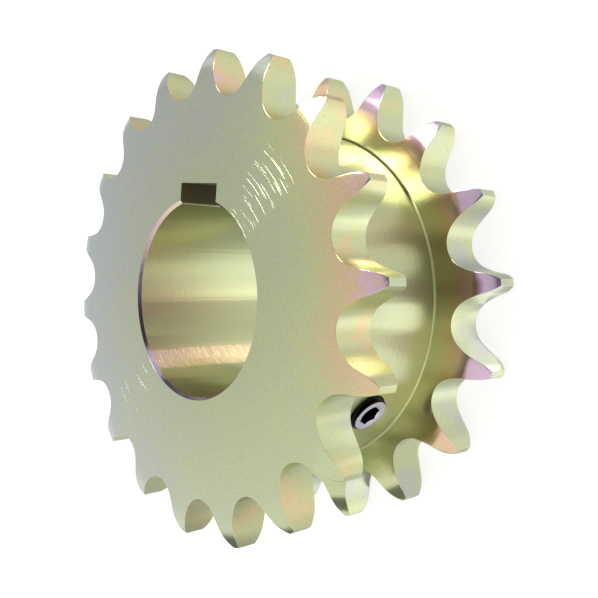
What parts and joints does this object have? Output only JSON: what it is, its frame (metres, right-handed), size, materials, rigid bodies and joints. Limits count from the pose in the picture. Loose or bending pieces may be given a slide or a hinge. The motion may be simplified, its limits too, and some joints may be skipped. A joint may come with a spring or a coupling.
{
  "type": "chain sprocket",
  "caption": "Chain sprocket for a pair of simplex roller chains: toothed rows at both ends of a keyed hub, with a socket set screw between them.",
  "frame": {"origin": "centre of the bore on the rear row's outer face, which the part stands on", "axes": "+Z along the bore from the rear row to the front row, +Y from the bore's axis through the middle of the keyway and the tooth above it, +X completes a right-handed frame"},
  "size_m": [0.0982, 0.0996, 0.04],
  "materials": {
    "plated_steel": "turned and milled, yellow zinc plated",
    "black_steel": "black oxide"
  },
  "bodies": {
    "root": {"sprocket_body": "plated_steel", "set_screw": "black_steel"}
  },
  "joints": []
}
